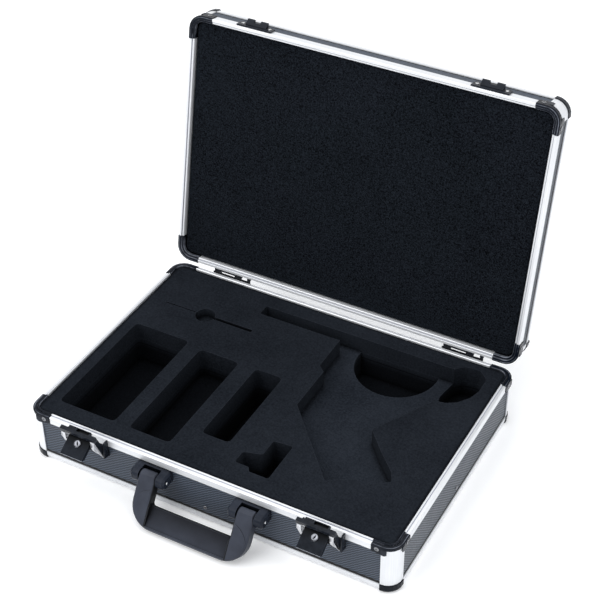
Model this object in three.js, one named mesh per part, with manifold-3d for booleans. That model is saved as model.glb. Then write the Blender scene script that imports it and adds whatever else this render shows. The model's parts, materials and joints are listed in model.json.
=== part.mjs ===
// A hard case for a microphone kit: an aluminium framed board case with a cut foam
// insert, a lined lid on two butt hinges, two draw latches and a folding handle.
// Millimetres, +Z up, +X along the front, the front faces -Y.
// The origin is the middle of the open case's own box, on the ground.

import * as THREE from 'three';
import { mergeVertices } from 'three/addons/utils/BufferGeometryUtils.js';
import Module from 'manifold-3d';

const wasm = await Module();
wasm.setup();

// Driving dimensions of the case
const caseWidth = 452;
const caseDepth = 312;
const baseHeight = 67;
const lidHeight = 37;
const lidOpening = 101.1;
const cornerRadius = 17;
const fit = 0.3;

// Boards
const boardThickness = 3.6;
const floorThickness = 3.4;
const boardChamfer = 2;

// Extrusions: rims, edges and corner posts share one wall
const legWall = 1.1;
const innerLegWall = 0.9;
const rimLeg = 10;
const rimBridge = 2.3;
const tongueHeight = 1.5;
const tongueWidth = 2;
const tongueChamfer = 0.7;
const lipChamfer = 0.8;
const grooveWidth = 0.8;
const grooveDepth = 0.6;
const rimEdgeBreak = 0.6;
const edgeRise = 9.1;
const edgeLeg = 14;
const edgeRadius = 4;
const edgeInset = 1.2;

// Plastic corners
const capProud = 1;
const capInnerProud = 0.5;
const capArm = 29;
const capBand = 4.6;
const capEarDrop = 2;
const capEarTip = 11.5;
const capEarSlope = 5;
const footRadius = 3;
const footTopBreak = 0.5;
const postWidth = 18;

// Places that follow from the walls
const boardOuter = legWall + fit;
const boardInner = boardOuter + boardThickness;
const innerLegOuter = boardInner + fit;
const rimWidth = innerLegOuter + innerLegWall;
const tongueOuter = rimWidth - tongueWidth;
const lipInner = tongueOuter - fit;
const shelfInner = tongueOuter - grooveWidth;
const boardTop = tongueHeight + rimBridge + fit;
const closedGap = fit;
const halfWidth = caseWidth / 2;
const halfDepth = caseDepth / 2;
const quarterTurn = Math.PI / 2;
const arcSteps = 6;
const weldReach = 1e-4;

// Hinges
const hinge = {
  offset: 2.3,
  rise: 3.1,
  barrel: 1.9,
  pin: 0.9,
  bore: 1.2,
  fromSide: 71.5,
  knuckleSpan: 38,
  middleKnuckle: 18,
  leafBefore: 21,
  leafAfter: 31,
  lugFrom: 27,
  lugTo: 31,
  leafWall: 1.2,
  leafTall: 11,
  leafClear: 3.2,
  endGap: 0.3,
  sides: 16,
};

// Handle and its two brackets
const handle = {
  pivotOut: 11.5,
  half: 70.4,
  armWidth: 20.8,
  reach: 54.4,
  gripTop: 29,
  thick: 14,
  groundGap: 0.3,
  cornerRadius: 27,
  innerRadius: 3,
  edgeBreak: 2,
  scoopBottom: 50.6,
  scoopLip: 1.4,
  scoopDeep: 7.2,
  scoopSide: 0.6,
  scoopSteps: 8,
  creaseTop: 11,
  creaseBow: 15,
  creaseEnd: 45,
  creaseDeep: 0.6,
  creaseSteps: 8,
  cornerSteps: 10,
  bore: 2.9,
  sides: 20,
};
const bracket = {
  lugWall: 10.2,
  lugGap: 0.5,
  rimGap: 0.7,
  lugOut: 18.4,
  plateOut: 3.5,
  topAbovePivot: 7.3,
  bottomBelowPivot: 8.6,
  noseRadius: 6.2,
  pin: 2.5,
  noseSteps: 5,
  endBreak: 2.2,
};

const handleInner = handle.half - handle.armWidth;
const bracketCentre = handle.half - handle.armWidth / 2;
const bracketInner = handle.armWidth / 2 + bracket.lugGap;
const bracketHalf = bracketInner + bracket.lugWall;
const handlePivot = baseHeight - rimLeg - bracket.rimGap - bracket.topAbovePivot;

// Draw latches: a plate with ears, a swinging frame and a lever
const latch = {
  fromSide: 82,
  pivotOut: 5,
  pivotBelow: 19,
  pin: 1.2,
  bore: 1.5,
  plateHalf: 24.2,
  plateBottom: 24,
  plateTop: 11,
  plateWall: 1.5,
  earWall: 1.8,
  earOut: 8.2,
  earTop: 1,
  earBottom: 21.5,
  earCut: 2.2,
  frameHalf: 22,
  cheekWall: 1.1,
  linkWall: 1.1,
  footDrop: 4,
  footOut: 7.2,
  footCut: 1,
  backOut: 2.6,
  backBend: 10,
  linkLowOut: 10.4,
  linkLow: 11,
  linkHighOut: 13,
  linkHigh: 7.5,
  barBottom: 13.2,
  barTop: 18.3,
  barOut: 10.6,
  barWall: 1.6,
  flangeWall: 1.4,
  flangeDeep: 4.7,
  tabFrom: -14,
  tabTo: -3,
  tabDeep: 8.3,
  tabDrop: 1.1,
  hookTo: 13,
  hookMouth: 3.3,
  hookWall: 0.8,
  frameOpen: 17,
  leverOut: 7.9,
  leverUp: 4.9,
  leverHalf: 13.8,
  leverLong: 22.6,
  leverWall: 2.2,
  leverSide: 1.4,
  leverDeep: 5.4,
  leverNose: 3,
  leverKnuckle: 2.3,
  leverOpen: 76,
  lockDown: 6.6,
  lockRadius: 4.6,
  lockProud: 1,
  sides: 16,
};

// Keepers on the lid: the hook of the latch lies on the catch when the case is closed
const keeper = {
  half: 22,
  wall: 1.5,
  from: 0.6,
  to: 13.4,
  cornerCut: 2,
  catchHalf: 13,
  catchFrom: 5,
  catchOut: 7.2,
  catchBack: 2,
  catchNose: 2.5,
  notchHalf: 4.2,
  notchOut: 4.8,
};
const hookFloor = latch.barBottom;
const keeperCatchTop = hookFloor - closedGap - fit;

// Foam insert: gaps, level and pockets, seen from above
const foam = {
  edgeGap: 0.6,
  topBelowRim: 2,
  lidFace: 4,
};
// Shares across are of half the case's width, shares along of half its depth
const recessDeep = 21.5;
const farShare = 0.819;
const pockets = [
  { acrossShares: [-0.903, -0.58], alongShares: [-0.814, 0.179], deep: 55, radius: 6 },
  { acrossShares: [-0.496, -0.265], alongShares: [-0.814, 0.141], deep: 37, radius: 6 },
  { acrossShares: [-0.168, -0.013], alongShares: [-0.622, 0.141], deep: 55, radius: 6 },
  { acrossShares: [-0.372, 0.73], alongShares: [0.718, farShare], deep: recessDeep, radius: 1.5 },
];
const smallPocket = {
  deep: 40,
  radius: 3,
  outlineShares: [
    [0.075, -0.763], [0.15, -0.763], [0.168, -0.801], [0.27, -0.801], [0.27, -0.449],
    [0.168, -0.462], [0.168, -0.615], [0.075, -0.654],
  ],
};
const loopRecess = {
  centreShares: [-0.619, 0.503],
  radius: 12.2,
  deep: 11,
  slotEndShare: -0.336,
  slotWidth: 4.4,
  slitEndShare: -0.863,
  slitWidth: 1.4,
  steps: 24,
};
const bodyRecess = {
  deep: recessDeep,
  radius: 2,
  outlineShares: [
    [0.103, 0.756], [0.103, 0.397], [0.143, 0.346], [0.143, -0.058], [0.506, -0.636],
    [0.628, -0.526], [0.674, -0.554], [0.785, -0.436], [0.757, -0.357], [0.648, -0.201],
    [0.546, -0.038], [0.629, 0.174], [0.717, 0.417], [0.761, 0.705], [0.664, 0.756],
  ],
};
const discPocket = {
  centreShares: [0.416, 0.776],
  backShare: farShare,
  radius: 50.5,
  deep: 55,
  steps: 40,
};
const endPocket = {
  deep: 42,
  radius: 9,
  outlineShares: [
    [0.718, farShare], [0.761, 0.884], [0.84, 0.893], [0.895, 0.821], [0.895, 0.679],
    [0.875, 0.583], [0.832, 0.497], [0.783, 0.454], [0.726, 0.436], [0.7, 0.641],
  ],
};

// Colours and finishes
const aluminium = new THREE.MeshStandardMaterial({ color: 0xe4e6ea, roughness: 0.35, metalness: 0.9 });
const blackPlastic = new THREE.MeshStandardMaterial({ color: 0x1c1d20, roughness: 0.45, metalness: 0 });
const blackBoard = new THREE.MeshStandardMaterial({ color: 0x3a3b40, roughness: 0.6, metalness: 0 });
const blackFoam = new THREE.MeshStandardMaterial({ color: 0x202428, roughness: 0.95, metalness: 0 });
const liningFoam = new THREE.MeshStandardMaterial({ color: 0x191c21, roughness: 0.97, metalness: 0 });
const blackSteel = new THREE.MeshStandardMaterial({ color: 0x191a1d, roughness: 0.4, metalness: 0.4 });

// Solids to and from the boolean library
function toSolid(geometry) {
  geometry.deleteAttribute('normal');
  geometry.deleteAttribute('uv');
  const merged = mergeVertices(geometry, weldReach);
  return new wasm.Manifold(new wasm.Mesh({
    numProp: 3,
    vertProperties: new Float32Array(merged.attributes.position.array),
    triVerts: new Uint32Array(merged.index.array),
  }));
}

function toGeometry(solid) {
  const mesh = solid.getMesh();
  const geometry = new THREE.BufferGeometry();
  const points = new Float32Array(mesh.numVert * 3);
  for (let i = 0; i < mesh.numVert; i += 1) {
    for (let k = 0; k < 3; k += 1) points[i * 3 + k] = mesh.vertProperties[i * mesh.numProp + k];
  }
  geometry.setAttribute('position', new THREE.BufferAttribute(points, 3));
  geometry.setIndex(new THREE.BufferAttribute(new Uint32Array(mesh.triVerts), 1));
  geometry.computeVertexNormals();
  return geometry;
}

function joined(...geometries) {
  return geometries.map(toSolid).reduce((whole, next) => whole.add(next));
}

function box(x0, x1, y0, y1, z0, z1) {
  const geometry = new THREE.BoxGeometry(x1 - x0, y1 - y0, z1 - z0);
  return geometry.translate((x0 + x1) / 2, (y0 + y1) / 2, (z0 + z1) / 2);
}

// A prism along z from an outline of [x, y] points
function prism(outline, z0, z1) {
  const shape = new THREE.Shape(outline.map(([x, y]) => new THREE.Vector2(x, y)));
  const geometry = new THREE.ExtrudeGeometry(shape, { depth: z1 - z0, bevelEnabled: false });
  return geometry.translate(0, 0, z0);
}

// What runs along z with an outline of [x, y], turned to run along x with [y, z]
function alongX(geometry) {
  const turn = new THREE.Matrix4().makeBasis(
    new THREE.Vector3(0, 1, 0),
    new THREE.Vector3(0, 0, 1),
    new THREE.Vector3(1, 0, 0),
  );
  return geometry.applyMatrix4(turn);
}

function prismX(outline, x0, x1) {
  return alongX(prism(outline, x0, x1));
}

function rodX(radius, x0, x1, y, z, sides) {
  const geometry = new THREE.CylinderGeometry(radius, radius, x1 - x0, sides);
  return geometry.rotateZ(quarterTurn).translate((x0 + x1) / 2, y, z);
}

// The same outline, turned so that it runs counterclockwise
function wound(outline) {
  const clockwise = THREE.ShapeUtils.isClockWise(outline.map(([x, y]) => new THREE.Vector2(x, y)));
  return clockwise ? [...outline].reverse() : outline;
}

// A closed skin through rings of the same number of points, each ring at one height
function loft(levels) {
  const rings = levels.map(({ outline, z }) => ({ outline: wound(outline), z }));
  const count = rings[0].outline.length;
  const points = rings.flatMap(({ outline, z }) => outline.flatMap(([x, y]) => [x, y, z]));
  const faces = [];
  for (let r = 0; r + 1 < rings.length; r += 1) {
    for (let i = 0; i < count; i += 1) {
      const j = (i + 1) % count;
      const low = r * count;
      const high = low + count;
      faces.push(low + i, low + j, high + j, low + i, high + j, high + i);
    }
  }
  const cover = (ring, start, flip) => {
    const flat = ring.outline.map(([x, y]) => new THREE.Vector2(x, y));
    for (const [a, b, c] of THREE.ShapeUtils.triangulateShape(flat, [])) {
      faces.push(...(flip ? [start + a, start + c, start + b] : [start + a, start + b, start + c]));
    }
  };
  cover(rings[0], 0, true);
  cover(rings[rings.length - 1], count * (rings.length - 1), false);
  const geometry = new THREE.BufferGeometry();
  geometry.setAttribute('position', new THREE.BufferAttribute(new Float32Array(points), 3));
  geometry.setIndex(faces);
  return geometry;
}

function arc(cx, cy, radius, from, to, steps) {
  const points = [];
  for (let i = 0; i <= steps; i += 1) {
    const angle = from + ((to - from) * i) / steps;
    points.push([cx + radius * Math.cos(angle), cy + radius * Math.sin(angle)]);
  }
  return points;
}

// An outline with every corner turned into an arc
function rounded(outline, radius, steps = 3) {
  return outline.flatMap((point, i) => {
    const corner = new THREE.Vector2(...point);
    const before = new THREE.Vector2(...outline.at(i - 1)).sub(corner);
    const after = new THREE.Vector2(...outline[(i + 1) % outline.length]).sub(corner);
    const angle = Math.abs(Math.atan2(before.cross(after), before.dot(after)));
    const room = Math.min(before.length(), after.length()) / 2;
    const reach = Math.min(radius / Math.tan(angle / 2), room);
    const start = corner.clone().addScaledVector(before.normalize(), reach);
    const end = corner.clone().addScaledVector(after.normalize(), reach);
    const curve = new THREE.QuadraticBezierCurve(start, corner, end);
    return curve.getPoints(steps).map(({ x, y }) => [x, y]);
  });
}

function rectangle(x0, x1, y0, y1) {
  return [[x0, y0], [x1, y0], [x1, y1], [x0, y1]];
}

// The case outline, set in from the outer faces
function caseOutline(inset) {
  const radius = cornerRadius - inset;
  const x = halfWidth - cornerRadius;
  const y = halfDepth - cornerRadius;
  return [
    ...arc(x, y, radius, 0, quarterTurn, arcSteps),
    ...arc(-x, y, radius, quarterTurn, 2 * quarterTurn, arcSteps),
    ...arc(-x, -y, radius, 2 * quarterTurn, 3 * quarterTurn, arcSteps),
    ...arc(x, -y, radius, 3 * quarterTurn, 4 * quarterTurn, arcSteps),
  ];
}

// One corner, with its outer corner at 0, 0 and the case towards +x and +y
function cornerFan(inset, size) {
  const radius = cornerRadius - inset;
  const curve = arc(cornerRadius, cornerRadius, radius, 2 * quarterTurn, 3 * quarterTurn, arcSteps);
  return [[inset, size], ...curve, [size, inset], [size, size]];
}

// A closed section of [inset, depth] points, swept round one corner
function sweepCorner(profile, arm) {
  const section = wound(profile);
  const stations = [];
  stations.push((inset) => [arm, inset]);
  for (let i = arcSteps; i >= 0; i -= 1) {
    const angle = 2 * quarterTurn + (quarterTurn * i) / arcSteps;
    stations.push((inset) => [
      cornerRadius + (cornerRadius - inset) * Math.cos(angle),
      cornerRadius + (cornerRadius - inset) * Math.sin(angle),
    ]);
  }
  stations.push((inset) => [inset, arm]);
  const count = section.length;
  const points = stations.flatMap((place) => section.flatMap(([inset, depth]) => [...place(inset), depth]));
  const faces = [];
  for (let s = 0; s + 1 < stations.length; s += 1) {
    for (let i = 0; i < count; i += 1) {
      const j = (i + 1) % count;
      const here = s * count;
      const next = here + count;
      faces.push(here + i, next + j, here + j, here + i, next + i, next + j);
    }
  }
  const flat = section.map(([x, y]) => new THREE.Vector2(x, y));
  const last = count * (stations.length - 1);
  for (const [a, b, c] of THREE.ShapeUtils.triangulateShape(flat, [])) {
    faces.push(a, b, c, last + a, last + c, last + b);
  }
  const geometry = new THREE.BufferGeometry();
  geometry.setAttribute('position', new THREE.BufferAttribute(new Float32Array(points), 3));
  geometry.setIndex(faces);
  return geometry;
}

// The sections are [inset from the outer face, depth from the rim plane]
function clipSection(outer, inner, legEnd, outerEnd, mating) {
  return [
    [outer, outerEnd],
    [legWall, outerEnd],
    [legWall, tongueHeight + rimBridge],
    [innerLegOuter, tongueHeight + rimBridge],
    [innerLegOuter, legEnd],
    [inner, legEnd],
    ...mating(outer, inner),
  ];
}

function tongueMating(outer, inner) {
  return [
    [inner, rimEdgeBreak],
    [inner - rimEdgeBreak, 0],
    [tongueOuter + tongueChamfer, 0],
    [tongueOuter, tongueChamfer + tongueChamfer / 2],
    [tongueOuter, tongueHeight + grooveDepth],
    [shelfInner, tongueHeight + grooveDepth],
    [shelfInner, tongueHeight],
    [outer + rimEdgeBreak, tongueHeight],
    [outer, tongueHeight + rimEdgeBreak],
  ];
}

function lipMating(outer, inner) {
  return [
    [inner, rimEdgeBreak],
    [inner - rimEdgeBreak, 0],
    [lipInner, 0],
    [lipInner, lipChamfer - tongueHeight],
    [lipInner - lipChamfer, -tongueHeight],
    [outer + rimEdgeBreak, -tongueHeight],
    [outer, rimEdgeBreak - tongueHeight],
  ];
}

// A straight extrusion along x on the side at -y, centred on x
function sidePiece(section, length, reach) {
  const outline = section.map(([inset, depth]) => [inset - reach, depth]);
  return prismX(outline, -length / 2, length / 2);
}

function edgeSection(height) {
  const bottom = height - edgeInset;
  const top = height - edgeInset - edgeRise;
  const inside = bottom - legWall;
  const bend = arc(edgeRadius, bottom - edgeRadius, edgeRadius, 2 * quarterTurn, quarterTurn, arcSteps / 2);
  return [
    [legWall, top],
    [legWall, inside - boardChamfer - fit],
    [legWall + boardChamfer + fit, inside],
    [edgeLeg, inside],
    [edgeLeg, bottom],
    ...bend.reverse(),
    [0, top],
  ];
}

// The board box, open at the rim, with a broken outer edge
function boardBox(height) {
  const bottom = height - edgeInset - legWall - fit;
  const outer = loft([
    { outline: caseOutline(boardOuter), z: boardTop },
    { outline: caseOutline(boardOuter), z: bottom - boardChamfer },
    { outline: caseOutline(boardOuter + boardChamfer), z: bottom },
  ]);
  const hollow = prism(caseOutline(boardInner), 0, bottom - floorThickness);
  return toGeometry(toSolid(outer).subtract(toSolid(hollow)));
}

// The plastic foot that closes a lower corner
function cornerFoot(height) {
  const top = height - edgeInset - edgeRise;
  const outer = loft([
    { outline: cornerFan(footTopBreak - capProud, postWidth), z: top },
    { outline: cornerFan(-capProud, postWidth), z: top + footTopBreak },
    { outline: cornerFan(-capProud, postWidth), z: height - footRadius },
    { outline: cornerFan(footRadius / 3 - capProud, postWidth), z: height - footRadius / 3 },
    { outline: cornerFan(footRadius - capProud, postWidth), z: height },
  ]);
  const floor = height - edgeInset - legWall;
  const room = loft([
    { outline: cornerFan(legWall, 2 * postWidth), z: 0 },
    { outline: cornerFan(legWall, 2 * postWidth), z: floor - boardChamfer - fit },
    { outline: cornerFan(legWall + boardChamfer + fit, 2 * postWidth), z: floor },
  ]);
  return toGeometry(toSolid(outer).subtract(toSolid(room)));
}

function cornerPost(height) {
  const section = [
    [0, capBand + fit],
    [legWall, capBand + fit],
    [legWall, height - edgeInset - edgeRise - fit],
    [0, height - edgeInset - edgeRise - fit],
  ];
  return sweepCorner(section, postWidth);
}

// A copy of a piece of one arm of a corner, on the other arm
function acrossCorner(geometry) {
  const swap = new THREE.Matrix4().makeBasis(
    new THREE.Vector3(0, 1, 0),
    new THREE.Vector3(1, 0, 0),
    new THREE.Vector3(0, 0, 1),
  );
  const copy = geometry.clone().applyMatrix4(swap);
  const turned = [];
  for (let i = 0; i < copy.attributes.position.count; i += 3) turned.push(i, i + 2, i + 1);
  return copy.setIndex(turned);
}

// The plastic cap over a rim corner, with an ear on each arm for its screw
function rimCap(mating) {
  const band = clipSection(-capProud, rimWidth + capInnerProud, rimLeg, capBand, mating);
  const ear = [
    [capArm, capBand - legWall],
    [capArm, rimLeg],
    [postWidth + legWall, rimLeg + capEarDrop],
    [capEarTip + capEarSlope / 2, rimLeg + capEarDrop],
    [capEarTip, rimLeg],
    [capEarTip, capBand - legWall],
  ];
  const leg = rectangle(postWidth + fit, capArm, capBand - legWall, rimLeg);
  const tab = prismX(ear, -capProud, -fit);
  const clip = prismX(leg, -capProud, legWall);
  const swept = sweepCorner(band, capArm);
  return toGeometry(joined(swept, tab, clip, acrossCorner(tab), acrossCorner(clip)));
}

const corners = [
  { name: 'front_left', x: -1, y: -1, turn: 0 },
  { name: 'front_right', x: 1, y: -1, turn: 1 },
  { name: 'rear_right', x: 1, y: 1, turn: 2 },
  { name: 'rear_left', x: -1, y: 1, turn: 3 },
];
const sides = [
  { name: 'front', turn: 0, long: true },
  { name: 'right', turn: 1, long: false },
  { name: 'rear', turn: 2, long: true },
  { name: 'left', turn: 3, long: false },
];
const flippedName = {
  front_left: 'rear_left',
  front_right: 'rear_right',
  rear_right: 'front_right',
  rear_left: 'front_left',
  front: 'rear',
  rear: 'front',
  left: 'left',
  right: 'right',
};

function mesh(name, geometry, material) {
  const piece = new THREE.Mesh(geometry, material);
  piece.name = name;
  return piece;
}

// One half of the case, with its rim plane at 0 and its depth along +z
function caseHalf(half, height, mating, named) {
  const group = new THREE.Group();
  group.add(mesh(`${half}_boards`, boardBox(height), blackBoard));
  const cornerPieces = [
    ['rim_cap', rimCap(mating), blackPlastic],
    ['post', cornerPost(height), aluminium],
    ['corner_foot', cornerFoot(height), blackPlastic],
  ];
  for (const corner of corners) {
    for (const [kind, geometry, material] of cornerPieces) {
      const piece = mesh(`${half}_${kind}_${named(corner.name)}`, geometry, material);
      piece.position.set(corner.x * halfWidth, corner.y * halfDepth, 0);
      piece.rotation.z = corner.turn * quarterTurn;
      group.add(piece);
    }
  }
  const rimSection = clipSection(0, rimWidth, rimLeg, rimLeg, mating);
  for (const side of sides) {
    const span = side.long ? caseWidth : caseDepth;
    const reach = side.long ? halfDepth : halfWidth;
    const rim = sidePiece(rimSection, span - 2 * (capArm + fit), reach);
    const edge = sidePiece(edgeSection(height), span - 2 * (postWidth + fit), reach);
    for (const [kind, geometry] of [['rim', rim], ['edge', edge]]) {
      const piece = mesh(`${half}_${kind}_${named(side.name)}`, geometry, aluminium);
      piece.rotation.z = side.turn * quarterTurn;
      group.add(piece);
    }
  }
  return group;
}

// A point of the foam from its shares of the case's half width and half depth
function placed([across, along]) {
  return [across * halfWidth, along * halfDepth];
}

function circle(cx, cy, radius, steps) {
  return arc(cx, cy, radius, 0, 4 * quarterTurn, steps).slice(0, steps);
}

// Foam insert of the base, cut from a block with rounded corners
function foamInsert() {
  const inset = rimWidth + capInnerProud + foam.edgeGap;
  const top = baseHeight - foam.topBelowRim;
  const bottom = edgeInset + legWall + fit + floorThickness + fit;
  const above = top + foam.topBelowRim;
  let solid = toSolid(prism(caseOutline(inset), bottom, top));
  const cut = (outline, deep) => {
    solid = solid.subtract(toSolid(prism(outline, top - deep, above)));
  };
  for (const { acrossShares, alongShares, deep, radius } of pockets) {
    const [left, right] = acrossShares.map((share) => share * halfWidth);
    const [front, back] = alongShares.map((share) => share * halfDepth);
    cut(rounded(rectangle(left, right, front, back), radius), deep);
  }
  for (const { outlineShares, deep, radius } of [smallPocket, bodyRecess, endPocket]) {
    cut(rounded(outlineShares.map(placed), radius), deep);
  }
  const [loopX, loopY] = placed(loopRecess.centreShares);
  cut(circle(loopX, loopY, loopRecess.radius, loopRecess.steps), loopRecess.deep);
  const slot = loopRecess.slotWidth / 2;
  const slotEnd = loopRecess.slotEndShare * halfWidth;
  cut(rounded(rectangle(loopX, slotEnd, loopY - slot, loopY + slot), slot), loopRecess.deep);
  const slit = loopRecess.slitWidth / 2;
  const slitEnd = loopRecess.slitEndShare * halfWidth;
  cut(rectangle(slitEnd, loopX, loopY - slit, loopY + slit), loopRecess.deep);
  const [discX, discY] = placed(discPocket.centreShares);
  const reach = discPocket.radius;
  const discFloor = top - discPocket.deep;
  const discBack = discPocket.backShare * halfDepth;
  const disc = toSolid(prism(circle(discX, discY, reach, discPocket.steps), discFloor, above));
  const kept = toSolid(box(discX - reach, discX + reach, discY - reach, discBack, discFloor, above));
  solid = solid.subtract(disc.intersect(kept));
  return toGeometry(solid);
}

function lidLining() {
  const inset = rimWidth + capInnerProud + foam.edgeGap;
  const back = lidHeight - edgeInset - legWall - fit - floorThickness - fit;
  return prism(caseOutline(inset), foam.lidFace, back);
}

// Hinge leaves, in closed case places, with the hinge axis at y 0 and z 0
function hingeLeaf(knuckles, towards, withPin) {
  const face = -hinge.offset + fit;
  const near = towards * hinge.leafClear;
  const far = towards * (hinge.leafClear + hinge.leafTall);
  const plate = box(
    -hinge.leafBefore,
    hinge.leafAfter,
    face,
    face + hinge.leafWall,
    Math.min(near, far),
    Math.max(near, far),
  );
  const parts = [plate];
  for (const [x0, x1] of knuckles) {
    const neck = near + towards;
    parts.push(box(x0, x1, face, face + hinge.leafWall, Math.min(0, neck), Math.max(0, neck)));
    parts.push(rodX(hinge.barrel, x0, x1, 0, 0, hinge.sides));
  }
  let solid = joined(...parts);
  const long = hinge.leafBefore + hinge.leafAfter;
  solid = solid.subtract(toSolid(rodX(hinge.bore, -long, long, 0, 0, hinge.sides)));
  if (withPin) {
    const half = hinge.knuckleSpan / 2;
    const pin = toSolid(rodX(hinge.pin, -half, half, 0, 0, hinge.sides));
    solid = solid.add(pin);
    for (const [x0, x1] of knuckles) {
      const plug = rodX(hinge.bore + hinge.endGap, x0 + hinge.endGap, x1 - hinge.endGap, 0, 0, hinge.sides);
      solid = solid.add(toSolid(plug));
    }
  }
  return toGeometry(solid);
}

function hingePair() {
  const outer = hinge.knuckleSpan / 2;
  const middle = hinge.middleKnuckle / 2;
  const base = hingeLeaf(
    [[-outer, -middle - hinge.endGap], [middle + hinge.endGap, outer], [hinge.lugFrom, hinge.lugTo]],
    -1,
    true,
  );
  const lid = hingeLeaf([[-middle, middle]], 1, false);
  return { base, lid };
}

// Handle, hanging straight down from its pivot: x across, y outward as -y, z down as -z
function handleOutline(inset) {
  const outer = handle.half - inset;
  const inner = handleInner + inset;
  const bottom = -(handle.reach - inset);
  const gripTop = -(handle.gripTop + inset);
  const radius = handle.cornerRadius - inset;
  const small = handle.innerRadius + inset;
  return [
    [-outer, 0],
    ...arc(radius - outer, bottom + radius, radius, 2 * quarterTurn, 3 * quarterTurn, handle.cornerSteps),
    ...arc(outer - radius, bottom + radius, radius, 3 * quarterTurn, 4 * quarterTurn, handle.cornerSteps),
    [outer, 0],
    [inner, 0],
    ...arc(inner - small, gripTop + small, small, 0, -quarterTurn, 2),
    ...arc(small - inner, gripTop + small, small, -quarterTurn, -2 * quarterTurn, 2),
    [-inner, 0],
  ];
}

// The upper front of an arm is set back along a curve from its inner to its outer edge
function armRelief(edge) {
  const over = handle.creaseDeep;
  const inner = edge * (handleInner - over);
  const outer = edge * (handle.half + over);
  const curve = new THREE.QuadraticBezierCurve(
    new THREE.Vector2(inner, -handle.creaseTop),
    new THREE.Vector2(outer, -handle.creaseBow),
    new THREE.Vector2(outer, -handle.creaseEnd),
  );
  const outline = curve.getPoints(handle.creaseSteps).map(({ x, y }) => [x, y]);
  outline.push([outer, handle.thick], [inner, handle.thick]);
  const front = handle.thick / 2;
  return prism(wound(outline), front - over, front + over).rotateX(quarterTurn);
}

function handleBody() {
  const half = handle.thick / 2;
  const broken = half - handle.edgeBreak;
  const flat = loft([
    { outline: handleOutline(handle.edgeBreak), z: -half },
    { outline: handleOutline(0), z: -broken },
    { outline: handleOutline(0), z: broken },
    { outline: handleOutline(handle.edgeBreak), z: half },
  ]);
  const upright = flat.rotateX(quarterTurn);
  const knuckle = (side) => {
    const from = side > 0 ? handleInner : -handle.half;
    const to = side > 0 ? handle.half : -handleInner;
    const profile = [
      [0, from], [broken, from], [half, from + handle.edgeBreak],
      [half, to - handle.edgeBreak], [broken, to], [0, to],
    ].map(([x, y]) => new THREE.Vector2(x, y));
    return new THREE.LatheGeometry(profile, handle.sides).rotateZ(-quarterTurn);
  };
  let solid = joined(upright, knuckle(-1), knuckle(1));
  const side = handleInner - handle.scoopSide;
  const face = -half;
  const scoop = [[face - handle.thick, -handle.gripTop / 2], [face - handle.thick, -handle.scoopBottom]];
  const rise = handle.scoopBottom - handle.gripTop;
  for (let i = 0; i <= handle.scoopSteps; i += 1) {
    const t = i / handle.scoopSteps;
    const depth = handle.scoopLip + (handle.scoopDeep - handle.scoopLip) * Math.sin(t * quarterTurn);
    scoop.push([face + depth, -handle.scoopBottom + rise * t]);
  }
  scoop.push([face + handle.scoopDeep, -handle.gripTop / 2]);
  solid = solid.subtract(toSolid(prismX(scoop.reverse(), -side, side)));
  for (const edge of [-1, 1]) solid = solid.subtract(toSolid(armRelief(edge)));
  solid = solid.subtract(toSolid(rodX(handle.bore, -handle.half * 2, handle.half * 2, 0, 0, handle.sides)));
  return toGeometry(solid);
}

// The angle at which the handle's lower edge rests on the ground
function handleLean() {
  const toEdge = new THREE.Vector2(handle.reach, handle.thick / 2 - handle.edgeBreak);
  const drop = handlePivot - handle.groundGap;
  return toEdge.angle() + Math.acos(Math.min(1, drop / toEdge.length()));
}

// Side view of a handle lug, drawn in by an inset, as [y, z] from the pivot
function lugOutline(inset) {
  const back = handle.pivotOut + boardOuter - fit;
  const radius = bracket.noseRadius - inset;
  const front = handle.pivotOut - bracket.lugOut + inset;
  const top = bracket.topAbovePivot - inset;
  const bottom = inset - bracket.bottomBelowPivot;
  const steps = bracket.noseSteps;
  const nose = arc(front + radius, top - radius, radius, quarterTurn, 2 * quarterTurn, steps);
  const chin = arc(front + radius, bottom + radius, radius, 2 * quarterTurn, 3 * quarterTurn, steps);
  return [[back, top], ...nose, ...chin, [back, bottom]];
}

// Handle bracket: a plate, two lugs with broken ends, and the pin
function handleBracket() {
  const { plateOut, topAbovePivot, bottomBelowPivot, endBreak } = bracket;
  const end = bracketHalf - endBreak;
  const back = handle.pivotOut + boardOuter - fit;
  const plate = box(-end, end, handle.pivotOut - plateOut, back, -bottomBelowPivot, topAbovePivot);
  const leftLug = loft([
    { outline: lugOutline(endBreak), z: -bracketHalf },
    { outline: lugOutline(0), z: -end },
    { outline: lugOutline(0), z: -bracketInner },
  ]);
  const rightLug = loft([
    { outline: lugOutline(0), z: bracketInner },
    { outline: lugOutline(0), z: end },
    { outline: lugOutline(endBreak), z: bracketHalf },
  ]);
  const pin = rodX(bracket.pin, -end, end, 0, 0, handle.sides);
  return toGeometry(joined(plate, alongX(leftLug), alongX(rightLug), pin));
}

// Latch pieces are in closed places, from the rim plane of the base at z 0 and the outer
// face of the case at y 0, so a point that stands out by a length is at minus that length
function latchPlate() {
  const { plateHalf, earWall, earOut, earTop, earCut, plateBottom, plateTop, plateWall } = latch;
  const back = boardOuter - fit;
  const plate = box(-plateHalf, plateHalf, back - plateWall, back, -plateBottom, -plateTop);
  const ear = [
    [back, -plateBottom],
    [back, -plateTop],
    [-fit, -plateTop],
    [-fit, -earTop],
    [earCut - earOut, -earTop],
    [-earOut, -earTop - earCut],
    [-earOut, -latch.earBottom],
  ];
  const solid = joined(
    plate,
    prismX(ear, -plateHalf, earWall - plateHalf),
    prismX(ear, plateHalf - earWall, plateHalf),
    rodX(latch.pin, -plateHalf, plateHalf, -latch.pivotOut, -latch.pivotBelow, latch.sides),
  );
  return toGeometry(solid);
}

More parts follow.
